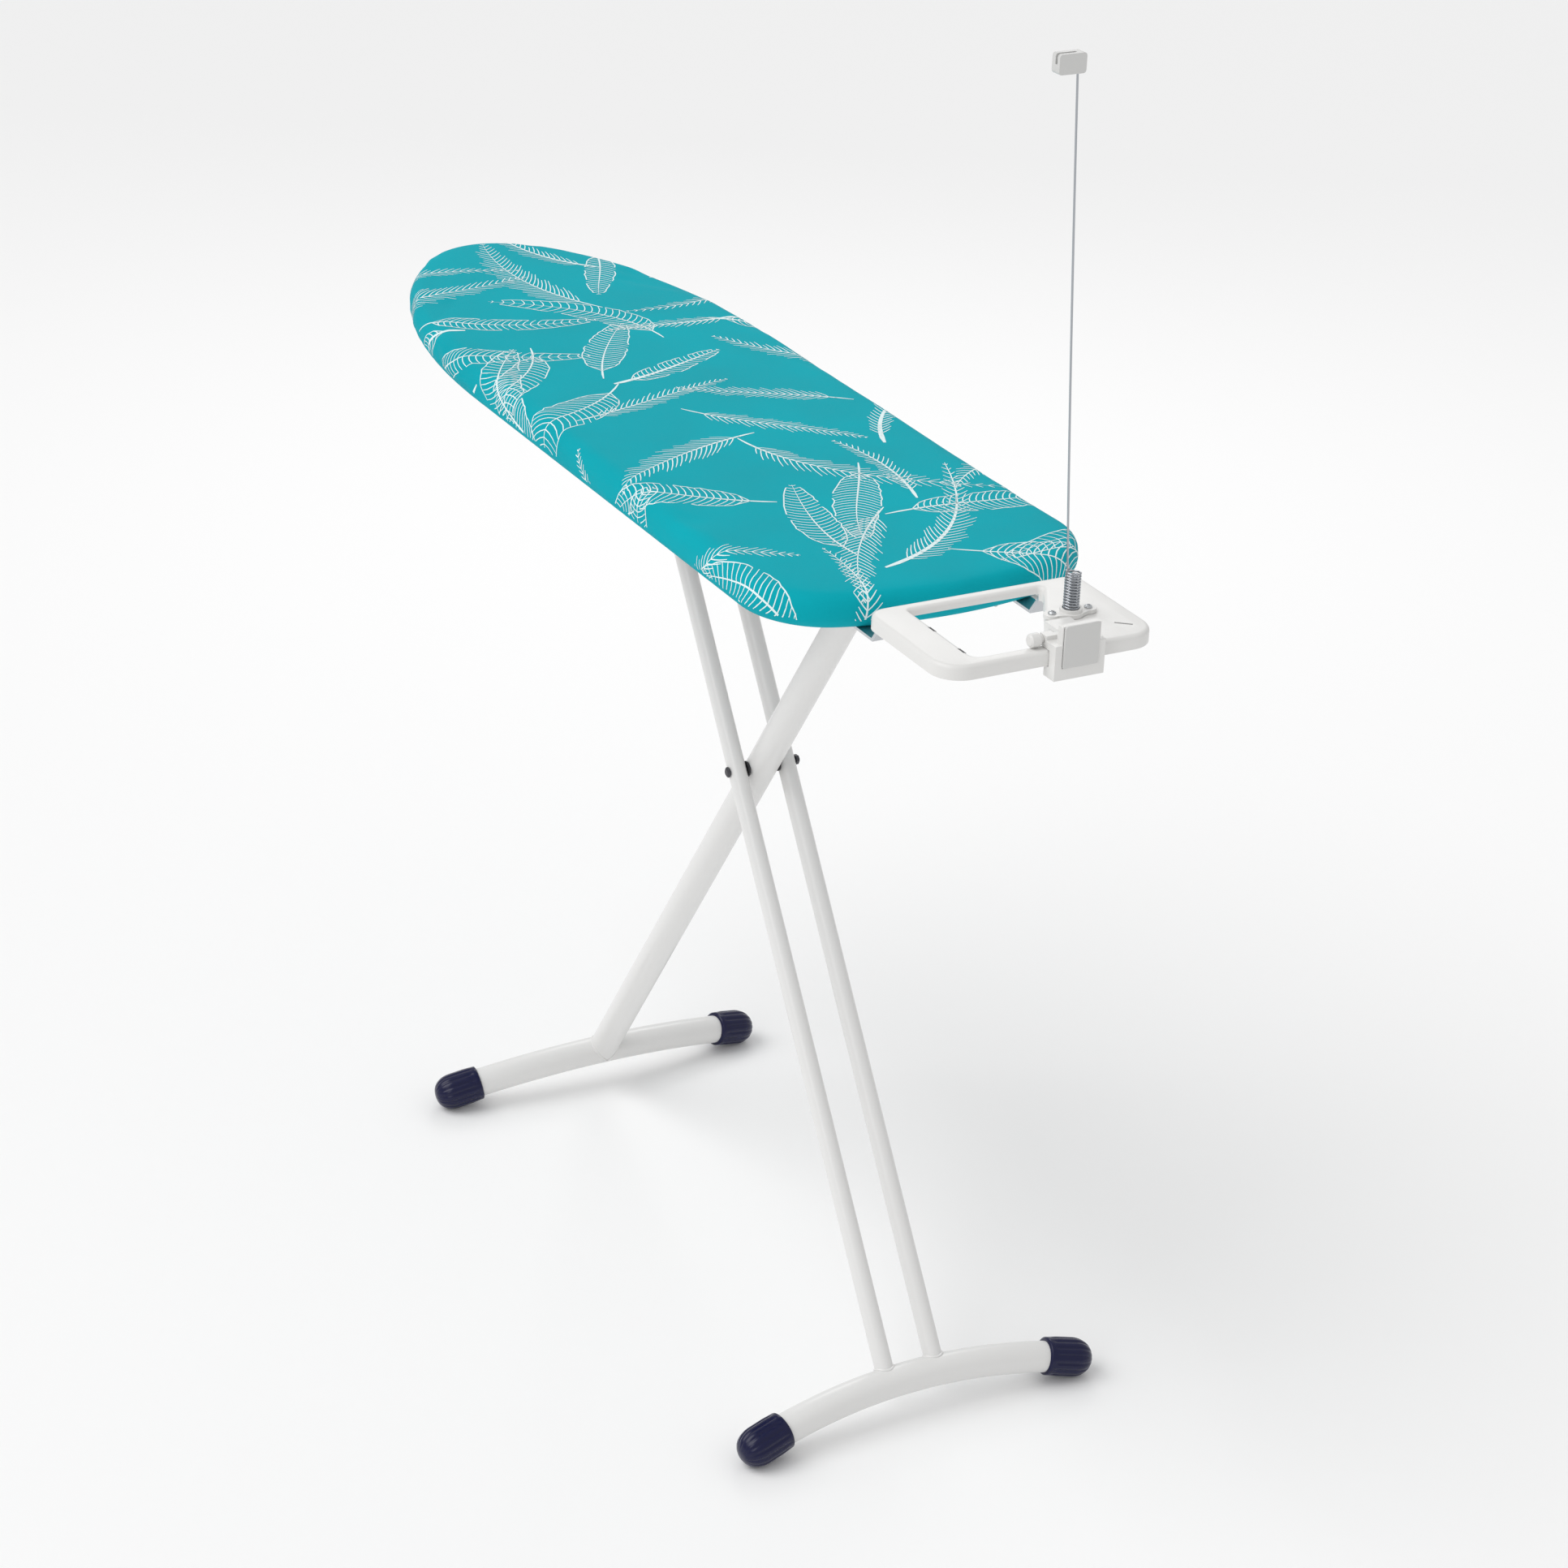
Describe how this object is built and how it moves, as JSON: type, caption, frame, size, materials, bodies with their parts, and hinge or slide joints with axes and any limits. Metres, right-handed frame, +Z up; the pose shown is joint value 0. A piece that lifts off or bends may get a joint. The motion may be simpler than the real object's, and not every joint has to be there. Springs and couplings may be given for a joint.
{
  "type": "folding ironing board",
  "caption": "Folding ironing board with a cloth cover, crossed tube legs on arched feet, a frame for resting the iron and a sprung mast that holds up the cable.",
  "frame": {"origin": "on the floor, under the middle of the overall box of the standing board", "axes": "+X from the nose to the iron rest, +Y to the side that has the release lever, +Z up"},
  "size_m": [1.394, 0.4412, 1.5344],
  "materials": {
    "core": "pale grey painted underside",
    "padding": "soft foam and felt",
    "cover": "teal woven cotton with pale line-drawn feathers",
    "powder_coat": "glossy off-white powder coat",
    "white_plastic": "satin white moulding",
    "grey_plastic": "light grey moulding",
    "navy_cap": "glossy navy, ribbed along its length",
    "dark_plastic": "dark nylon",
    "zinc": "bright zinc plate",
    "dark_steel": "blackened steel",
    "chrome": "polished spring wire"
  },
  "bodies": {
    "board": {"board_core": "core", "foam_pad": "padding", "board_cover": "cover", "slide_rail_right": "zinc", "slide_rail_left": "zinc", "leg_bracket": "zinc", "leg_pivot_bolt": "dark_steel", "leg_pivot_nut": "dark_steel", "rest_arm_left": "zinc", "rest_arm_right": "zinc", "bar_guide_front": "zinc", "bar_guide_rear": "zinc", "rail_screw_1": "zinc", "rail_screw_2": "zinc", "rail_screw_3": "zinc", "rail_screw_4": "zinc", "bracket_screw_1": "zinc", "bracket_screw_2": "zinc", "bracket_screw_3": "zinc", "bracket_screw_4": "zinc", "arm_screw_1": "zinc", "arm_screw_2": "zinc", "arm_screw_3": "zinc", "arm_screw_4": "zinc", "guide_screw_front": "zinc", "guide_screw_rear": "zinc", "iron_rest": "white_plastic", "spring_socket": "white_plastic", "socket_screw_left": "zinc", "socket_screw_right": "zinc", "cable_holder_body": "white_plastic", "cable_holder_plate": "grey_plastic", "mast_spring": "chrome", "lever_bracket": "zinc", "lever_pin": "zinc", "lever_spring": "dark_steel"},
    "main_leg_frame": {"main_leg": "powder_coat", "main_foot_bar": "powder_coat", "main_foot_cap_left": "navy_cap", "main_foot_cap_right": "navy_cap"},
    "twin_leg_frame": {"twin_leg_left": "powder_coat", "twin_leg_right": "powder_coat", "twin_foot_bar": "powder_coat", "twin_foot_cap_left": "navy_cap", "twin_foot_cap_right": "navy_cap", "cross_bolt": "dark_steel", "cross_nut": "dark_steel", "cross_spacer_right": "dark_plastic", "cross_spacer_left": "dark_plastic"},
    "slider": {"slide_axle": "zinc", "axle_cap": "dark_plastic", "slide_shoe_right": "dark_plastic", "slide_shoe_left": "dark_plastic"},
    "mast": {"mast_wire": "chrome", "cable_clip": "grey_plastic"},
    "release_lever": {"release_lever": "grey_plastic"},
    "height_bar": {"height_bar": "zinc"},
    "clamp_knob": {"clamp_knob": "white_plastic"}
  },
  "joints": [
    {"name": "main_leg_fold", "type": "hinge", "parent": "board", "child": "main_leg_frame", "pos_m": [0.32405, 0, 0.9164], "axis": [0, 1, 0], "range_deg": [0, 53]},
    {"name": "cross_pivot", "type": "hinge", "parent": "main_leg_frame", "child": "twin_leg_frame", "pos_m": [0.11055, 0, 0.61035], "axis": [0, 1, 0], "range_deg": [-106, 0]},
    {"name": "slider_pivot", "type": "hinge", "parent": "twin_leg_frame", "child": "slider", "pos_m": [-0.10295, 0, 0.9164], "axis": [0, 1, 0], "range_deg": [0, 53]},
    {"name": "lever_pull", "type": "hinge", "parent": "board", "child": "release_lever", "pos_m": [0.45309, 0.113, 0.9294], "axis": [0, -1, 0], "range_deg": [0, 13]},
    {"name": "height_bar_drop", "type": "slide", "parent": "board", "child": "height_bar", "axis": [0, 0, -1], "range_m": [0, 0.0068], "stiffness_N_per_m": 650, "springref_m": -0.009},
    {"name": "mast_bend", "type": "hinge", "parent": "board", "child": "mast", "pos_m": [0.61595, 0.0589, 1.0266], "axis": [0, 1, 0], "range_deg": [-25, 25], "stiffness_Nm_per_rad": 1.5},
    {"name": "clamp_turn", "type": "hinge", "parent": "board", "child": "clamp_knob", "pos_m": [0.67065, -0.007, 0.9876], "axis": [0, 1, 0], "range_deg": [-90, 90]}
  ],
  "couplings": [
    {"joint": "cross_pivot", "follows": "main_leg_fold", "ratio": -2},
    {"joint": "slider_pivot", "follows": "main_leg_fold", "ratio": 1},
    {"joint": "lever_pull", "follows": "height_bar_drop", "rad_per_m": 33.333}
  ]
}
